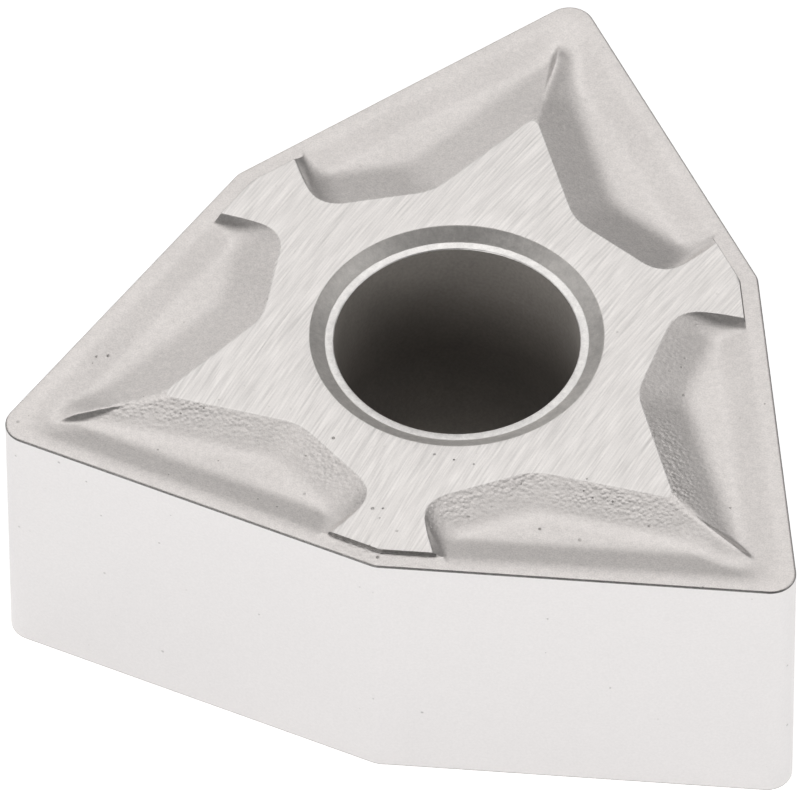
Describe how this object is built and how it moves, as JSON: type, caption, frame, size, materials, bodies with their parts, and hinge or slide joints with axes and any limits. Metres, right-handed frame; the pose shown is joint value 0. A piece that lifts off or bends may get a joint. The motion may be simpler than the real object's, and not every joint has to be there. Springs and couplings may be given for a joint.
{
  "type": "trigon turning insert",
  "caption": "Double-sided trigon turning insert in sintered carbide, with chip grooves round its noses, ground seat pads and a central bore.",
  "frame": {"origin": "on the bore axis, halfway between the two seat pads", "axes": "+Z along the bore, out of the upper seat pad; +Y towards one nose; the other two noses lie 120 degrees either side of it"},
  "size_m": [0.0126, 0.012, 0.0048],
  "materials": {
    "carbide": "uncoated sintered carbide, light grey satin, with ground seat pads"
  },
  "bodies": {
    "root": {"trigon_insert": "carbide"}
  },
  "joints": []
}
